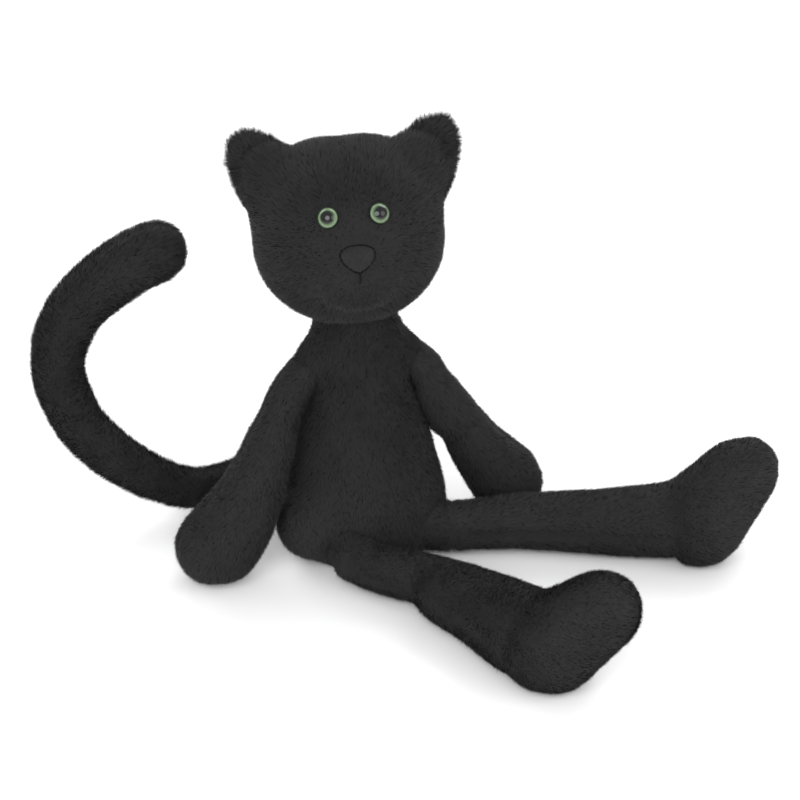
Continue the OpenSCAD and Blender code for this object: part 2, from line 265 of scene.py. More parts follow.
class Skin:
    """A padded cover. sink(p) is how far, in mm, its backing lies under the CAD outline.

    covers are the groups of CAD pieces between which it is sewn.
    """

    def __init__(self, name, cad, sink, covers, balls=(), soften=5, fill=0.8):
        self.name, self.cad, self.covers, self.fill = name, cad, covers, fill
        obj = self.joined(name, cad, balls)
        shape = obj.modifiers.new("remesh", "REMESH")
        shape.mode = "VOXEL"
        shape.voxel_size = VOXEL * MM
        smoother = obj.modifiers.new("soften", "SMOOTH")
        smoother.factor = 0.5
        smoother.iterations = soften
        self.obj = settled(obj)
        self.drop_islands()
        co, no = points_of(self.obj), normals_of(self.obj)
        set_points(self.obj, co - no * np.asarray(sink(co)).reshape(-1, 1) * MM)

    @staticmethod
    def joined(name, cad, balls):
        points, faces, base = [], [], 0
        for n in cad:
            mesh = nodes[n].data
            co = np.array([v.co for v in mesh.vertices])
            points.append(co)
            faces += [[v + base for v in p.vertices] for p in mesh.polygons]
            base += len(co)
        for centre, radius in balls:
            co, tris = ball(np.asarray(centre, float), radius * MM)
            points.append(co)
            faces += [[v + base for v in t] for t in tris]
            base += len(co)
        return mesh_object(name, np.concatenate(points), faces, BACKING)

    def drop_islands(self):
        """Keeps only the largest connected part, the outer surface."""
        n = len(self.obj.data.vertices)
        edges = np.empty(len(self.obj.data.edges) * 2, np.int64)
        self.obj.data.edges.foreach_get("vertices", edges)
        edges = edges.reshape(-1, 2)
        label = np.arange(n)
        while True:
            smallest = np.minimum(label[edges[:, 0]], label[edges[:, 1]])
            new = label.copy()
            np.minimum.at(new, edges[:, 0], smallest)
            np.minimum.at(new, edges[:, 1], smallest)
            new = new[new]
            if (new == label).all():
                break
            label = new
        names, counts = np.unique(label, return_counts=True)
        keep = label == names[counts.argmax()]
        if keep.all():
            return
        index = np.cumsum(keep) - 1
        faces = [[index[v] for v in p.vertices] for p in self.obj.data.polygons if keep[p.vertices[0]]]
        made = mesh_object(self.name + "_kept", points_of(self.obj)[keep], faces, BACKING)
        mesh = made.data
        bpy.data.objects.remove(made)
        self.obj.data = mesh

    def inflate(self):
        cloth = self.obj.modifiers.new("padding", "CLOTH")
        cloth.settings.use_pressure = True
        cloth.settings.uniform_pressure_force = 4
        cloth.settings.tension_stiffness = 20
        cloth.settings.bending_stiffness = 2
        cloth.settings.effector_weights.gravity = 0
        self.before = points_of(self.obj)

    def deflate(self):
        settled(self.obj)
        moved = points_of(self.obj) - self.before
        size = np.linalg.norm(moved, axis=1, keepdims=True)
        limit = SIM_CAP * MM
        set_points(self.obj, self.before + moved * np.minimum(1, limit / np.maximum(size, 1e-9)))

    def refine(self):
        finer = self.obj.modifiers.new("finer", "SUBSURF")
        finer.levels = finer.render_levels = 1
        settled(self.obj)

    def sew(self):
        """Pulls the cover in along its seams."""
        co, no = points_of(self.obj), normals_of(self.obj)
        gaps = np.sort([distances(c, co) for c in self.covers], axis=0)
        self.seam = bump((gaps[1] - gaps[0]) / MM, SEAM_HALF)
        set_points(self.obj, co - no * (self.seam * SEAM_DEPTH * MM)[:, None])

    def crease(self, points, depth, width):
        """Folds the cover in along a line of points, in millimetres, and paints shade into the pile there."""
        co, no = points_of(self.obj), normals_of(self.obj)
        line = np.array([q for q, _ in chain(*[(*q, 1) for q in points], step=1)])
        gap = np.linalg.norm(co[:, None] - line[None], axis=2).min(1) / MM
        near = bump(gap, width)
        self.seam = np.maximum(self.seam, near)
        set_points(self.obj, co - no * (near * depth * MM)[:, None])

    def rest_on_floor(self):
        """Flattens what the weight of the filling presses on the surface below."""
        co = points_of(self.obj)
        co[:, 2] = np.maximum(co[:, 2], 0.8 * MM)
        set_points(self.obj, co)
        self.obj.data.polygons.foreach_set("use_smooth", [True] * len(self.obj.data.polygons))


def ball(centre, radius, rings=12, around=24):
    points = [centre + [0, 0, radius]]
    for i in range(1, rings):
        a = math.pi * i / rings
        for j in range(around):
            b = 2 * math.pi * j / around
            way = np.array([math.sin(a) * math.cos(b), math.sin(a) * math.sin(b), math.cos(a)])
            points.append(centre + radius * way)
    points.append(centre - [0, 0, radius])
    last = len(points) - 1
    faces = [[0, 1 + j, 1 + (j + 1) % around] for j in range(around)]
    for i in range(rings - 2):
        a, b = 1 + i * around, 1 + (i + 1) * around
        faces += [[a + j, b + j, b + (j + 1) % around, a + (j + 1) % around] for j in range(around)]
    a = 1 + (rings - 2) * around
    faces += [[a + (j + 1) % around, a + j, last] for j in range(around)]
    return np.array(points), faces


def limb_nodes(side, limb, more):
    names = {"arm": ("arm_front_panel", "arm_back_panel", "arm_stuffing", "paw_beads"),
             "leg": ("leg_top_panel", "leg_bottom_panel", "leg_stuffing", "foot_cover",
                     "foot_beads")}[limb]
    return [f"{side}_{n}" for n in (*names, more)]


def chain(*stations, step=3):
    """Overlapping balls along [x, y, z, radius] stations, all in millimetres."""
    made = []
    for a, b in zip(stations[:-1], stations[1:], strict=True):
        a, b = np.array(a, float), np.array(b, float)
        steps = max(2, int(np.linalg.norm(b[:3] - a[:3]) / step))
        between = [a + (b - a) * k / steps for k in range(steps + 1)]
        made += [(q[:3] * MM, q[3]) for q in between]
    return made


def ear_root(way):
    """Padding that fairs an ear into the head; way is 1 for the left ear and -1 for the right."""
    balls = chain((28, -9, 35, 9), (36, -1, 44, 6))
    balls += chain((33, -10, 29, 11), (45, -1, 40, 7.5))
    balls += chain((41, -10, 20, 9), (50, -1, 25, 6))
    return [(from_head(np.multiply(centre / MM, (way, 1, 1))), radius) for centre, radius in balls]


# Padding that fills out the body and the sewn roots and ends of the limbs
SHOULDER_SLOPES = chain((8, -6, 124, 15), (21, -6, 115, 12))
SHOULDER_SLOPES += chain((-16, -8, 126, 15), (-28, -9, 116, 12))
RIGHT_HIP = chain((-26, -18, 27, 22), (-32, -22, 25, 20))
EAR_ROOTS = ear_root(-1) + ear_root(1)
ROOTS = {
    "left_arm": chain((25, -6, 112, 12.5), (33, -5, 103, 12.5), (36, -4, 88, 14), (44, -2, 73, 15)),
    "right_arm": chain((-31, -9, 113, 12.5), (-39, -11, 104, 12.5), (-46, -13.5, 92, 13))
    + chain((-62, -21, 52, 17.5), (-72, -24.5, 36, 20.5), (-82, -27.5, 22.5, 21.8)),
    "left_leg": chain((24, -24, 19, 16), (42, -28, 17, 14.5), (55, -29, 17, 14.5), (70, -31, 17.5, 15.5))
    + chain((174, -58, 25, 25), (193, -58, 48, 20.5)),
    "right_leg": chain((-20, -26, 20, 14.5), (-13, -45, 16.5, 13.5), (-7, -57, 15.5, 13), (6, -67, 16, 14))
    + chain((22, -91, 16.5, 15), (37, -110, 17, 17), (55, -141, 21, 22.5))
    + chain((66, -155, 24, 25), (75, -158, 33, 23.5), (88.5, -161, 45, 20.5)),
    "tail": chain((0, 51.5, 25, 10.5), (-10, 56, 22, 11.5), (-22, 59, 19, 12)),
}


def from_root(joint, stations):
    """A depth that changes along a limb; stations are [millimetres from the joint, depth]."""
    far_at, depths = zip(*stations, strict=True)
    return lambda p: np.interp(np.linalg.norm(p - joint_at[joint], axis=1) / MM, far_at, depths)


def body_sink(p):
    return np.interp(p[:, 2], [0.08, 0.1], [0.4, 1.5])


def tail_sink(p):
    return np.interp(p[:, 0], [-0.14, -0.12], [0.7, 1.3]) * (p[:, 2] < 0.08) + 0.7 * (p[:, 2] >= 0.08)


def head_sink(p):
    """The front of the face keeps its full depth, so that the eyes and the nose sit on it."""
    return np.interp(to_head(p)[:, 1], [-44, -28], [-0.3, 2.4])


SINK = {"body": body_sink, "head": head_sink, "tail": tail_sink}
for side in ("left", "right"):
    SINK[f"{side}_arm"] = from_root(f"{side}_arm_raise", [(55, 2.2), (95, 0.7)])
    SINK[f"{side}_leg"] = from_root(f"{side}_leg_lift", [(40, 1.3), (100, 0.3), (145, 0.3), (160, 1.8)])

skins = {
    "body": Skin("body_skin", ["belly_panel", "left_back_panel", "right_back_panel", "seat_panel",
                               "body_stuffing", "seat_bead_bag", "neck_stuffing"], SINK["body"],
                 [["belly_panel"], ["left_back_panel"], ["right_back_panel"], ["seat_panel"]],
                 SHOULDER_SLOPES + RIGHT_HIP),
    "head": Skin("head_skin", ["face_panel", "head_back_panel", "head_stuffing"], SINK["head"],
                 [["face_panel"], ["head_back_panel"]], EAR_ROOTS, soften=12),
    "tail": Skin("tail_skin", ["tail_base_front_panel", "tail_base_back_panel", "tail_base_stuffing",
                               "tail_root_gather", "tail_tip_front_panel", "tail_tip_back_panel",
                               "tail_tip_stuffing"], SINK["tail"],
                 [["tail_base_front_panel", "tail_tip_front_panel"],
                  ["tail_base_back_panel", "tail_tip_back_panel"]], ROOTS["tail"]),
}
for side in ("left", "right"):
    arm, leg = f"{side}_arm", f"{side}_leg"
    skins[arm] = Skin(f"{arm}_skin", limb_nodes(side, "arm", "shoulder_gather"), SINK[arm],
                      [[f"{arm}_front_panel"], [f"{arm}_back_panel"]], ROOTS[arm])
    skins[leg] = Skin(f"{leg}_skin", limb_nodes(side, "leg", "hip_gather"), SINK[leg],
                      [[f"{leg}_top_panel", f"{side}_foot_cover"], [f"{leg}_bottom_panel"]], ROOTS[leg])


HEAD_HALF = (50, 48.5)      # half its width and half its height
WRIST_FOLD = [(-98, -26, 42), (-92, -38, 44), (-80, -46, 45), (-66, -44, 46)]


def square_up(skin):
    """Fills out the lower cheeks and the crown, which are a little squarer than an egg."""
    q = to_head(points_of(skin.obj))
    across, up = np.abs(q[:, 0]) / HEAD_HALF[0], q[:, 2] / HEAD_HALF[1]
    jaw = np.clip(-4 * across * up, 0, 1.2)
    crown = np.clip(4 * across * up, 0, 1.2)
    set_points(skin.obj, from_head(q * (1 + 0.02 * jaw[:, None] + 0.04 * crown[:, None])))


square_up(skins["head"])

scene = bpy.context.scene
for s in skins.values():
    s.inflate()
for f in range(1, SIM_FRAMES + 1):
    scene.frame_set(f)
for s in skins.values():
    s.deflate()
scene.frame_set(1)
for s in skins.values():
    s.refine()
    s.sew()
skins["right_arm"].crease(WRIST_FOLD, depth=2.0, width=4.0)
for s in skins.values():
    s.rest_on_floor()

# ---------- ears ----------

# Outline of an ear, sideways and up from the middle of the head; the seam end lies inside the head
EAR_OUTLINE = [(22, 38), (33, 45.5), (43, 50), (51, 50.5), (55.8, 45.5), (56.3, 36), (54.5, 25), (50.5, 15),
               (45, 8), (34, 18), (25, 30)]
EAR_MIDDLE = np.array([43.0, 34.0])
EAR_BACK = 2            # how far behind the head's middle plane an ear stands
EAR_THICK = 4.5
EAR_ROOT = 13.0         # how much thicker the front is where it meets the head
EAR_DENT = 1.5          # hollow in its front
EAR_ROOT_REACH = 12     # over which the root thins out
EAR_SEAM_AT = np.array([36.0, 28.5])
EAR_WAY = np.array([0.67, 0.74])
EAR_SHIFT = {"left": 0.6, "right": -1.6}    # how much farther out than the outline each ear sits


def closed_curve(points, per_step):
    """A smooth closed curve through the points."""
    p = np.array(points, float)
    n, made = len(p), []
    for i in range(n):
        a, b, c, d = p[i - 1], p[i], p[(i + 1) % n], p[(i + 2) % n]
        for k in range(per_step):
            t = k / per_step
            made.append(0.5 * (2 * b + (c - a) * t + (2 * a - 5 * b + 4 * c - d) * t**2
                               + (3 * b - a - 3 * c + d) * t**3))
    return np.array(made)


def ear_object(side, way):
    rim = closed_curve(EAR_OUTLINE, 6)
    rings = 12
    shares = [math.sin(math.pi / 2 * k / rings) for k in range(1, rings + 1)]
    points, faces, around = [], [], len(rim)
    for front in (True, False):
        base = len(points)
        for share in [0.0, *shares[: rings if front else rings - 1]]:
            puff = math.sqrt(max(0.0, 1 - share**2))
            loop = [EAR_MIDDLE] if share == 0 else [EAR_MIDDLE + (r - EAR_MIDDLE) * share for r in rim]
            for q in loop:
                out = max(0.0, (q - EAR_SEAM_AT) @ EAR_WAY + 3)
                thick = EAR_THICK + EAR_ROOT * math.exp(-((out / EAR_ROOT_REACH) ** 2))
                y = EAR_DENT * puff**3 - thick * puff if front else EAR_THICK * puff
                points.append((way * (q[0] + EAR_SHIFT[side]), EAR_BACK + y, q[1]))
        count = rings if front else rings - 1
        for j in range(around):
            faces.append((base, base + 1 + j, base + 1 + (j + 1) % around))
        for k in range(count - 1):
            a, b = base + 1 + k * around, base + 1 + (k + 1) * around
            faces += [(a + j, b + j, b + (j + 1) % around, a + (j + 1) % around) for j in range(around)]
        if front:
            edge = base + 1 + (rings - 1) * around
    inner = len(points) - around
    for j in range(around):
        following = (j + 1) % around
        faces.append((inner + j, edge + j, edge + following, inner + following))
    obj = mesh_object(f"{side}_ear_skin", from_head(points), faces, BACKING)
    tidy_normals(obj)
    return obj


def tidy_normals(obj):
    made = bmesh.new()
    made.from_mesh(obj.data)
    bmesh.ops.recalc_face_normals(made, faces=made.faces)
    made.to_mesh(obj.data)
    made.free()
    obj.data.update()


class Ear:
    def __init__(self, side, way):
        self.obj, self.cad, self.fill = ear_object(side, way), [f"{side}_ear"], 0.3
        self.seam = np.zeros(len(self.obj.data.vertices))


skins["left_ear"] = Ear("left", 1)
skins["right_ear"] = Ear("right", -1)

# ---------- pile ----------

DENSITY = 6.0
WIDTH = 0.28
MAX_TUFTS = 190000
ROOT_DEPTH = 0.4        # how deep a tuft is set, for a width of 1
CLUMP, SWIRL, STRAY = 0.11, 0.2, 0.22       # how far near tufts, patches and single tufts leave the comb


def surface_samples(obj, per_mm2, seam):
    """Points and normals spread evenly over a mesh, with how near a seam each is."""
    mesh = obj.data
    mesh.calc_loop_triangles()
    tri = np.empty(len(mesh.loop_triangles) * 3, np.int64)
    mesh.loop_triangles.foreach_get("vertices", tri)
    tri = tri.reshape(-1, 3)
    co, no = points_of(obj), normals_of(obj)
    a, b, c = co[tri[:, 0]], co[tri[:, 1]], co[tri[:, 2]]
    area = np.linalg.norm(np.cross(b - a, c - a), axis=1) / 2
    total = np.cumsum(area)
    n = min(int(total[-1] / MM**2 * per_mm2), MAX_TUFTS)
    at = (np.arange(n) + rng.random(n)) / n * total[-1]
    t = np.minimum(np.searchsorted(total, at), len(tri) - 1)
    r1, r2 = np.sqrt(rng.random(n)), rng.random(n)
    w = np.stack([1 - r1, r1 * (1 - r2), r1 * r2], axis=1)
    p = sum(w[:, k, None] * co[tri[t, k]] for k in range(3))
    q = unit(sum(w[:, k, None] * no[tri[t, k]] for k in range(3)))
    return p, q, sum(w[:, k] * seam[tri[t, k]] for k in range(3))


def grow(name, skin, comb, length, lean, density=1.0, width=1.0, tone_and_painted_light=None, bare=None, wild=1.0,
         material=PILE):
    """Tufts over a skin. comb is the way they lie, length in mm, lean from 0 upright to 1 flat."""
    p, n, seam = surface_samples(skin.obj, DENSITY * density, skin.seam)
    if bare is not None:
        keep = ~bare(p)
        p, n, seam = p[keep], n[keep], seam[keep]
    count = len(p)
    way = comb(p, n)
    way = unit(way - n * (way * n).sum(1, keepdims=True))
    rough = noise_vector(p, 3.5, 5) * CLUMP + noise_vector(p, 11.0, 15) * SWIRL
    rough = rough + rng.normal(0, STRAY, (count, 3))
    way = way + rough * wild
    flat = lean(p) + (0.05 * noise(p, 5.0, 31) + rng.normal(0, 0.08, count)) * wild
    flat = np.clip(flat + 0.12 * seam, 0.02, 0.95)[:, None]
    along = unit(n * (1.05 - flat) + way * flat)
    size = length(p) * (0.92 + 0.1 * noise(p, 2.5, 41) * wild) * rng.uniform(0.78, 1.1, count)
    size = (size * (1 - 0.25 * seam) * MM)[:, None]
    across = unit(np.cross(along, unit(rng.normal(0, 0.7, (count, 3)) + n)))
    half = WIDTH * width * MM / 2 * rng.uniform(0.75, 1.2, (count, 1))
    root = p - n * ROOT_DEPTH * width * MM
    points = np.stack([root - across * half, root + across * half, root + along * size], axis=1)
    points[:, :, 2] = np.maximum(points[:, :, 2], 0.1 * MM)
    shade = (1 + 0.04 * noise(p, 3.0, 61) + 0.05 * noise(p, 14.0, 71)) * rng.uniform(0.94, 1.06, count)
    # Painted shade: the pile is darker along the seams and creases.
    shade = shade * (1 - 0.14 * seam)
    # Painted shade and light of the part, such as the face's and chest's painted shade, multiplied into each
    # tuft's own level.
    if tone_and_painted_light is not None:
        shade = shade * tone_and_painted_light(p)
    facing = unit(n + 0.12 * along + rng.normal(0, 0.04, (count, 3)))
    return tuft_mesh(name, points, facing, shade, material)


def tuft_mesh(name, points, facing, shade, material):
    count = len(points)
    mesh = bpy.data.meshes.new(name)
    mesh.vertices.add(count * 3)
    mesh.vertices.foreach_set("co", np.round(points, 6).astype(np.float32).ravel())
    mesh.loops.add(count * 3)
    mesh.loops.foreach_set("vertex_index", np.arange(count * 3, dtype=np.int32))
    mesh.polygons.add(count)
    mesh.polygons.foreach_set("loop_start", np.arange(0, count * 3, 3, dtype=np.int32))
    mesh.update(calc_edges=True)
    mesh.materials.append(material)
    along = np.tile([0, 0, 1.0], count).astype(np.float32)
    for key, values in (("along", along), ("tone_and_painted_light", np.repeat(shade, 3).astype(np.float32))):
        mesh.attributes.new(key, "FLOAT", "POINT").data.foreach_set("value", values)
    columns = int(math.ceil(math.sqrt(count * 2)))
    rows = int(math.ceil(count / columns))
    cell = np.stack([np.arange(count) % columns, np.arange(count) // columns], axis=1)[:, None]
    uv = (cell + np.array([[0.2, 0.1], [0.8, 0.1], [0.5, 0.9]])) / np.array([columns, rows])
    mesh.uv_layers.new(name="OFBake").data.foreach_set("uv", uv.astype(np.float32).ravel())
    mesh.polygons.foreach_set("use_smooth", [True] * count)
    mesh.normals_split_custom_set_from_vertices(np.repeat(facing, 3, axis=0).tolist())
    return link(bpy.data.objects.new(name, mesh))


def away_from(point, droop=0.0):
    centre = np.asarray(point, float)
    return lambda p, n: unit(p - centre) + np.array([0, 0, -droop])


def constant(value):
    return lambda p: np.full(len(p), float(value))


def downwards(p, n):
    return np.tile([0.0, -0.15, -1.0], (len(p), 1))


NOSE_AT = np.array([0.0, -55.0, -8.0])


def head_comb(p, n):
    q = to_head(p) - NOSE_AT
    way = q * np.array([1.0, 0.6, 1.0])
    return unit(way) @ HEAD_TURN.T


def head_length(p):
    q = to_head(p)
    near = np.linalg.norm(q - NOSE_AT, axis=1)
    return 2.0 + 1.6 * np.clip((near - 12) / 30, 0, 1) + 0.6 * (q[:, 2] > 30)


def ear_comb(side):
    def comb(p, n):
        q = to_head(p) - np.array([side * 30.0, 2.0, 30.0])
        return unit(q * np.array([0.8, 1.0, 1.2])) @ HEAD_TURN.T
    return comb


TAIL_LINE = np.array([[0, 51, 25], [-20, 59, 20], [-45, 57, 15], [-68, 47, 14], [-89, 37, 18], [-112, 31, 32],
                      [-134, 30, 52], [-147, 30, 69], [-152, 30, 82], [-157, 30, 99], [-156, 30, 119],
                      [-147, 30, 137], [-132, 30, 152], [-114, 30, 163], [-100, 30, 169],
                      [-80, 30, 176]]) * MM


def tail_comb(p, n):
    gap = np.linalg.norm(p[:, None] - TAIL_LINE[None], axis=2).argmin(1)
    gap = np.clip(gap, 1, len(TAIL_LINE) - 2)
    return unit(TAIL_LINE[gap + 1] - TAIL_LINE[gap - 1])


# ---------- face ----------

EYE_OUT = 12.4
EYE_FRONT = -45.8
EYE_UP = 11.4
EYE_R = 5.25
EYE_TOP = 4.5           # its dome's top and its back, out from the middle of the eye
EYE_BACK = 0.3
DOME_R = 4.85
DOME_Z = 1.65
MUZZLE_AT = np.array([0.0, -29.5, -13.0])
MUZZLE_R = 25.0
NOSE_HALF = [(4.6, 5.4), (8.1, 3.4), (8.9, 0.4), (7.2, -3.0), (3.8, -6.1)]
NOSE_OUTLINE = [(0, 5.9), *NOSE_HALF, (0, -7.9), *((-x, z) for x, z in reversed(NOSE_HALF))]
NOSE_PUFF = 3.4
NOSE_SET_IN = 2.2       # how deep its back lies in the muzzle
NOSE_STITCHES = 40
MOUTH_FROM, MOUTH_LENGTH = -7.6, 5.2        # from the middle of the nose
THREAD_R = 0.28


def eye_frame(side):
    """Middle and axes of an eye, in the head's frame; +Z looks out of the face."""
    return np.array([side * EYE_OUT, EYE_FRONT, EYE_UP]), turn((76, 0, side * 16))


def near_eye(q, radius):
    hit = np.zeros(len(q), bool)
    for side in (-1, 1):
        centre, axes = eye_frame(side)
        local = (q - centre) @ axes
        hit |= (np.hypot(local[:, 0], local[:, 1]) < radius) & (local[:, 2] > -6)
    return hit


NOSE_RIM = closed_curve(NOSE_OUTLINE, 8)
NOSE_MIDDLE = np.array([0.0, -8.0])


def nose_reach(q):
    """Below 1 inside the nose's outline, 1 on it and more outside, in the head's frame."""
    x, z = q[:, 0] - NOSE_MIDDLE[0], q[:, 2] - NOSE_MIDDLE[1]
    angle = np.arctan2(NOSE_RIM[:, 1], NOSE_RIM[:, 0])
    order = np.argsort(angle)
    rim = np.interp(np.arctan2(z, x), angle[order], np.hypot(NOSE_RIM[:, 0], NOSE_RIM[:, 1])[order],
                    period=2 * math.pi)
    return np.hypot(x, z) / rim + (q[:, 1] > -30) * 9


def on_muzzle(x, z, out):
    """A point out mm above the muzzle's skin, at x and z from the middle of the nose."""
    x, z = x + NOSE_MIDDLE[0], z + NOSE_MIDDLE[1] - MUZZLE_AT[2]
    ray = np.array([x, -math.sqrt(MUZZLE_R**2 - x**2 - z**2), z]) / MUZZLE_R
    return MUZZLE_AT + ray * (MUZZLE_R + out)


def face_bare(p):
    q = to_head(p)
    return near_eye(q, EYE_R - 0.4) | (nose_reach(q) < 0.84)


# Painted shade on the face: a dark groove round the nose, deepest below it, darker pile round the eyes, brow
# and chin darkened against the light that falls on them, and the whole head's pile set a shade darker.
def face_painted_shade(p):
    q = to_head(p)
    reach = nose_reach(q)
    below = np.clip(-(q[:, 2] - NOSE_MIDDLE[1]) / 6, 0, 1)
    nose_groove_shade = (0.1 + 0.22 * below) * bump(reach - 1.12, 0.25)
    brow_shade = 0.24 * bump(q[:, 0], 34) * np.clip((q[:, 2] - 5) / 15, 0, 1)
    chin_shade = 0.24 * np.clip(-(q[:, 2] + 18) / 16, 0, 1)
    return (1 - nose_groove_shade) * (1 - 0.3 * near_eye(q, EYE_R + 1.0)) * (0.86 - brow_shade - chin_shade)


def eye_material():
    """A clear domed button, painted green behind with a black pupil. reach is mm from its middle."""
    m, nt, shader = node_material("eye_button")
    reach = add(nt, "ShaderNodeAttribute")
    reach.attribute_name = "reach"
    fibre = add(nt, "ShaderNodeAttribute")
    fibre.attribute_name = "fibre"
    shift = nt.nodes.new("ShaderNodeMath")
    shift.operation = "ADD"
    nt.links.new(reach.outputs["Fac"], shift.inputs[0])
    nt.links.new(fibre.outputs["Fac"], shift.inputs[1])
    share = nt.nodes.new("ShaderNodeMath")
    share.operation = "DIVIDE"
    nt.links.new(shift.outputs["Value"], share.inputs[0])
    share.inputs[1].default_value = EYE_R
    ramp = nt.nodes.new("ShaderNodeValToRGB")
    # The green ring is the eye's paint; its bright band near 4.35 mm is partly a painted highlight, the light
    # caught at the clear dome's edge.
    stops = [(0.0, (0.004, 0.004, 0.005)), (2.75, (0.004, 0.004, 0.005)), (3.0, (0.008, 0.022, 0.008)),
             (3.4, (0.055, 0.09, 0.045)), (3.9, (0.10, 0.15, 0.08)), (4.35, (0.17, 0.23, 0.135)),
             (4.6, (0.09, 0.14, 0.07)), (4.85, (0.010, 0.035, 0.010)), (EYE_R, (0.004, 0.012, 0.004))]
    ramp.color_ramp.elements.remove(ramp.color_ramp.elements[1])
    for k, (at, colour) in enumerate(stops):
        stop = ramp.color_ramp.elements[0] if k == 0 else ramp.color_ramp.elements.new(at / EYE_R)
        stop.position = at / EYE_R
        stop.color = (*colour, 1)
    nt.links.new(share.outputs["Value"], ramp.inputs["Fac"])
    nt.links.new(ramp.outputs["Color"], shader.inputs["Base Color"])
    shader.inputs["Roughness"].default_value = 0.12
    shader.inputs["Specular IOR Level"].default_value = 0.3
    shader.inputs["Coat Weight"].default_value = 0.2
    shader.inputs["Coat Roughness"].default_value = 0.03
    return m


def plastic_material():
    """Moulded white plastic with faint flow marks."""
    m, nt, shader = node_material("moulded_plastic")
    where = add(nt, "ShaderNodeTexCoord")
    marks = add(nt, "ShaderNodeTexNoise", Scale=400.0, Detail=4.0)
    nt.links.new(where.outputs["Object"], marks.inputs["Vector"])
    ramp = nt.nodes.new("ShaderNodeValToRGB")
    ramp.color_ramp.elements[0].color = (0.72, 0.72, 0.70, 1)
    ramp.color_ramp.elements[1].color = (0.80, 0.80, 0.78, 1)
    nt.links.new(marks.outputs["Fac"], ramp.inputs["Fac"])
    nt.links.new(ramp.outputs["Color"], shader.inputs["Base Color"])
    shader.inputs["Roughness"].default_value = 0.4
    return m


def thread_material():
    """Black sewing thread with its ply as a fine stripe."""
    m, nt, shader = node_material("sewing_thread")
    where = add(nt, "ShaderNodeTexCoord")
    ply = add(nt, "ShaderNodeTexWave", Scale=900.0, Distortion=0.6)
    nt.links.new(where.outputs["Object"], ply.inputs["Vector"])
    ramp = nt.nodes.new("ShaderNodeValToRGB")
    ramp.color_ramp.elements[0].color = grey(0.002)
    ramp.color_ramp.elements[1].color = grey(0.005)
    nt.links.new(ply.outputs["Fac"], ramp.inputs["Fac"])
    nt.links.new(ramp.outputs["Color"], shader.inputs["Base Color"])
    shader.inputs["Roughness"].default_value = 0.85
    shader.inputs["Specular IOR Level"].default_value = 0.15
    return m


THREAD = thread_material()
PLASTIC = plastic_material()
EYE = eye_material()
# The nose's velour is lighter than the fur; its darker root is painted shade, as on the fur.
VELOUR = pile_material("nose_velour", 0.030, 0.041)


def eye_button(side, name):
    """A domed button with a turned-up lip, its back hidden in the pile."""
    rise = EYE_TOP - DOME_Z
    bow = (DOME_R**2 + rise**2) / (2 * rise)
    profile = [(4.9, EYE_BACK), (5.2, 0.6), (EYE_R, 1.0), (5.2, 1.4), (5.05, 1.62), (4.93, 1.68)]
    rings = 22
    profile += [(r, EYE_TOP - bow + math.sqrt(bow**2 - r**2)) for r in
                (DOME_R * (1 - (k / rings)) for k in range(rings))]
    around = 96
    centre, axes = eye_frame(side)
    local = [(r * math.cos(2 * math.pi * j / around), r * math.sin(2 * math.pi * j / around), z)
             for r, z in profile for j in range(around)]
    local += [(0, 0, EYE_TOP), (0, 0, EYE_BACK)]
    faces = [(i * around + j, i * around + (j + 1) % around, (i + 1) * around + (j + 1) % around,
              (i + 1) * around + j) for i in range(len(profile) - 1) for j in range(around)]
    top, back = len(local) - 2, len(local) - 1
    last = (len(profile) - 1) * around
    faces += [(last + j, last + (j + 1) % around, top) for j in range(around)]
    faces += [((j + 1) % around, j, back) for j in range(around)]
    local = np.array(local)
    obj = mesh_object(name, from_head(centre + local @ axes.T), faces, EYE)
    reach = np.hypot(local[:, 0], local[:, 1])
    angle = np.arctan2(local[:, 1], local[:, 0])
    fibre = 0.28 * np.sin(angle + 1.2 * side) + 0.05 * np.sin(angle * 17) + 0.04 * np.sin(angle * 29 + 1)
    for key, values in (("reach", reach), ("fibre", fibre * (reach > 3.0) * (reach < 4.8))):
        obj.data.attributes.new(key, "FLOAT", "POINT").data.foreach_set("value", values.astype(np.float32))
    return obj


def nose_object():
    rings = 12
    shares = [math.sin(math.pi / 2 * k / rings) for k in range(rings + 1)]
    around = len(NOSE_RIM)
    points, faces = [on_muzzle(0, 0, NOSE_PUFF - 1)], []
    for share in shares[1:]:
        puff = NOSE_PUFF * (1 - share**2.2) ** 0.85 - 1
        points += [on_muzzle(x * share, z * share, puff) for x, z in NOSE_RIM]
    points += [on_muzzle(x * 0.97, z * 0.97, -NOSE_SET_IN) for x, z in NOSE_RIM]
    points.append(on_muzzle(0, 0, -NOSE_SET_IN))
    loops = rings + 1
    for j in range(around):
        following = (j + 1) % around
        faces.append((0, 1 + j, 1 + following))
        for k in range(loops - 1):
            a, b = 1 + k * around, 1 + (k + 1) * around
            faces.append((a + j, b + j, b + following, a + following))
        last = 1 + (loops - 1) * around
        faces.append((last + following, last + j, len(points) - 1))
    obj = mesh_object("nose_skin", from_head(points), faces, BACKING)
    tidy_normals(obj)
    return obj


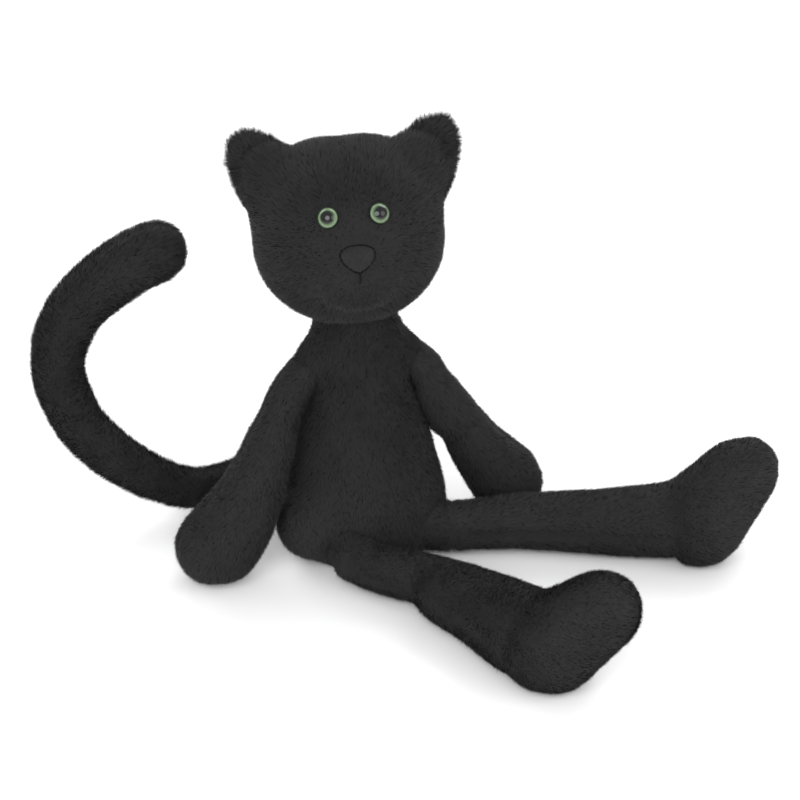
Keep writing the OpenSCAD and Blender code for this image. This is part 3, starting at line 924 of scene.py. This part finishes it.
def thread_run(points, plies=2, turns_per_mm=0.55, radius=THREAD_R, sides=6):
    """Plies of thread twisted about a line through the points, in millimetres: points and faces."""
    line = np.array(points, float)
    ahead = unit(np.gradient(line, axis=0))
    e1 = unit(np.cross(ahead, [0.3, 0.2, 1.0]))
    e2 = np.cross(ahead, e1)
    far = np.concatenate([[0], np.cumsum(np.linalg.norm(np.diff(line, axis=0), axis=1))])
    made, faces = [], []
    for k in range(plies):
        a = 2 * math.pi * (far * turns_per_mm + k / plies)
        core = line + (e1 * np.cos(a)[:, None] + e2 * np.sin(a)[:, None]) * radius * 0.8
        base = len(made)
        for i in range(len(line)):
            for j in range(sides):
                b = 2 * math.pi * j / sides
                made.append(core[i] + (e1[i] * math.cos(b) + e2[i] * math.sin(b)) * radius)
        made += [core[0], core[-1]]
        first, last = len(made) - 2, len(made) - 1
        for j in range(sides):
            following = (j + 1) % sides
            for i in range(len(line) - 1):
                p, q = base + i * sides, base + (i + 1) * sides
                faces.append((p + j, p + following, q + following, q + j))
            faces.append((base + following, base + j, first))
            end = base + (len(line) - 1) * sides
            faces.append((end + j, end + following, last))
    return made, faces


def thread_object(name, runs):
    points, faces = [], []
    for run in runs:
        made, found = thread_run(run)
        faces += [[v + len(points) for v in f] for f in found]
        points += made
    obj = mesh_object(name, from_head(np.array(points)), faces, THREAD)
    tidy_normals(obj)
    return obj


def nose_stitches():
    """Small slanting stitches that hold the nose's edge down."""
    runs, steps = [], 6
    inner, outer = 0.94, 1.02       # where a stitch begins and ends, as shares of the nose's outline
    for k in range(NOSE_STITCHES):
        start = int(k * len(NOSE_RIM) / NOSE_STITCHES)
        x, z = NOSE_RIM[start]
        x2, z2 = NOSE_RIM[(start + 2) % len(NOSE_RIM)]
        run = []
        for t in np.linspace(0, 1, steps):
            out = 0.4 * math.sin(math.pi * t) - 0.3 - 0.4 * t
            run.append(on_muzzle(x * inner * (1 - t) + x2 * outer * t,
                                 z * inner * (1 - t) + z2 * outer * t, out))
        runs.append(run)
    return thread_object("nose_stitches", runs)


def mouth_object():
    """The short line of thread that runs down from the tip of the nose."""
    steps = 16
    run = [on_muzzle(0.15 * math.sin(3 * t), MOUTH_FROM - MOUTH_LENGTH * t, 0.2 + 1.3 * math.sin(math.pi * t))
           for t in np.linspace(0, 1, steps)]
    return thread_object("mouth_thread", [run])


class Nose:
    def __init__(self):
        self.obj, self.cad, self.fill = nose_object(), ["nose_pad"], 0.7
        self.seam = np.zeros(len(self.obj.data.vertices))


eyes = {side: eye_button(way, f"{side}_eye_button") for side, way in (("left", 1), ("right", -1))}
nose = Nose()
stitches = nose_stitches()
mouth = mouth_object()
nose_nap = grow("nose_nap", nose, head_comb, constant(0.8), constant(0.6), density=9.0, width=0.5,
                material=VELOUR)
for side in ("left", "right"):
    for place_of in nodes[f"{side}_eye_washer"].material_slots:
        place_of.material = PLASTIC


def body_painted_shade(p):
    """Painted shade: the pile darkens up towards the chest and neck, which lie in the head's shade and whose
    nap runs away from the light.
    """
    return np.interp(p[:, 2], [0.04, 0.09], [1.02, 0.58])


def ear_length(side):
    def length(p):
        q = to_head(p) * np.array([side, 1, 1])
        out = np.clip((q[:, [0, 2]] - EAR_SEAM_AT) @ EAR_WAY, 0, 20)
        return EAR_PILE_LENGTH + out * EAR_FUZZ
    return length


BODY_PILE = 3.5
LIMB_PILE = 3.5
TAIL_PILE = 4.2
EAR_PILE_LENGTH = 3.4
EAR_FUZZ = 0.19         # how much longer the pile gets with each mm out along an ear
NAP_LEAN = 0.68
piles = {
    "body": [grow("body_pile", skins["body"], downwards, constant(BODY_PILE), constant(0.7), tone_and_painted_light=body_painted_shade)],
    "head": [grow("head_pile", skins["head"], head_comb, head_length, constant(0.6), tone_and_painted_light=face_painted_shade,
                  bare=face_bare)],
}
for side, way in (("left", 1), ("right", -1)):
    piles["head"].append(grow(f"{side}_ear_pile", skins[f"{side}_ear"], ear_comb(way), ear_length(way),
                              constant(0.55), density=1.5, width=1.3, wild=2.2, material=SHADED_EAR_PILE))
for side in ("left", "right"):
    arm, leg = f"{side}_arm", f"{side}_leg"
    piles[arm] = [grow(f"{arm}_pile", skins[arm], away_from(joint_at[f"{arm}_raise"]), constant(LIMB_PILE),
                       constant(NAP_LEAN))]
    # Painted light: the legs' pile is made a tenth lighter than the same fur elsewhere.
    piles[leg] = [grow(f"{leg}_pile", skins[leg], away_from(joint_at[f"{leg}_spread"]), constant(LIMB_PILE),
                       constant(NAP_LEAN), tone_and_painted_light=constant(1.1))]
tail_pile = grow("tail_pile", skins["tail"], tail_comb, constant(TAIL_PILE), constant(0.6), wild=1.2)

# ---------- everything but the tail rides on its body ---


def place(skin, body, hidden):
    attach(skin.obj, body)
    finish_skin(hidden)


def finish_skin(hidden):
    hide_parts(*hidden)


place(skins["body"], "body", skins["body"].cad)
place(skins["head"], "head", skins["head"].cad)
for side in ("left", "right"):
    place(skins[f"{side}_ear"], "head", skins[f"{side}_ear"].cad)
    for limb in ("arm", "leg"):
        place(skins[f"{side}_{limb}"], f"{side}_{limb}", skins[f"{side}_{limb}"].cad)
place(nose, "head", nose.cad)
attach(nose_nap, "head")
for side, button in eyes.items():
    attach(button, "head")
    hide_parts(f"{side}_eye")
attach(mouth, "head")
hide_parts("mouth_stitch")
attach(stitches, "head")
for body, found in piles.items():
    for o in found:
        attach(o, body)
finish_skin(skins["tail"].cad)
for o in (skins["tail"].obj, tail_pile):
    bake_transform(o)

# ---------- the room ----------


def area_light(name, at, towards, size, power):
    data = bpy.data.lights.new(name, "AREA")
    data.shape = "DISK"
    data.size = size
    data.energy = power
    lamp = link(bpy.data.objects.new(name, data))
    lamp.location = at
    lamp.rotation_mode = "QUATERNION"
    lamp.rotation_quaternion = (Vector(towards) - Vector(at)).to_track_quat("-Z", "Y")
    return lamp


floor_material, nt, shader = node_material("pale_floor")
grain = add(nt, "ShaderNodeTexNoise", Scale=3.0, Detail=2.0)
tint = nt.nodes.new("ShaderNodeValToRGB")
tint.color_ramp.elements[0].color = (0.9, 0.9, 0.9, 1)
tint.color_ramp.elements[1].color = (0.93, 0.93, 0.93, 1)
nt.links.new(grain.outputs["Fac"], tint.inputs["Fac"])
nt.links.new(tint.outputs["Color"], shader.inputs["Base Color"])
shader.inputs["Roughness"].default_value = 0.9
FLOOR_HALF = 6.0
corners = [(x * FLOOR_HALF, y * FLOOR_HALF, 0) for x, y in ((-1, -1), (1, -1), (1, 1), (-1, 1))]
floor = mesh_object("floor", corners, [(0, 1, 2, 3)], floor_material)

world = bpy.data.worlds.new("studio")
bpy.context.scene.world = world
world.use_nodes = True
world.node_tree.nodes["Background"].inputs["Color"].default_value = (1, 1, 1, 1)
world.node_tree.nodes["Background"].inputs["Strength"].default_value = 0.75
LIGHT_AIM = (0, 0, 0.1)
LIGHT_SIZE = 1.3
area_light("key", (-0.6, -1.3, 1.0), LIGHT_AIM, LIGHT_SIZE, 22)
area_light("fill", (1.0, -1.1, 0.8), LIGHT_AIM, LIGHT_SIZE, 9)
area_light("rim", (0.9, 0.9, 1.2), LIGHT_AIM, LIGHT_SIZE, 12)
area_light("back", (-0.7, 1.3, 0.9), LIGHT_AIM, LIGHT_SIZE, 14)

camera_data = bpy.data.cameras.new("camera")
camera_data.sensor_width = 36
camera_data.lens = 119.7
camera_data.clip_start = 0.05
camera_data.clip_end = 30
camera = link(bpy.data.objects.new("camera", camera_data))
AIM = np.array([0.017, -0.014, 0.090])
AZIMUTH, ELEVATION, DISTANCE = math.radians(-12), math.radians(30), 1.4
back = np.array([math.sin(AZIMUTH) * math.cos(ELEVATION), -math.cos(AZIMUTH) * math.cos(ELEVATION),
                 math.sin(ELEVATION)])
camera.location = AIM + back * DISTANCE
camera.rotation_mode = "QUATERNION"
camera.rotation_quaternion = Vector(-back).to_track_quat("-Z", "Y")
bpy.context.scene.camera = camera
bpy.context.scene.view_settings.view_transform = "Standard"
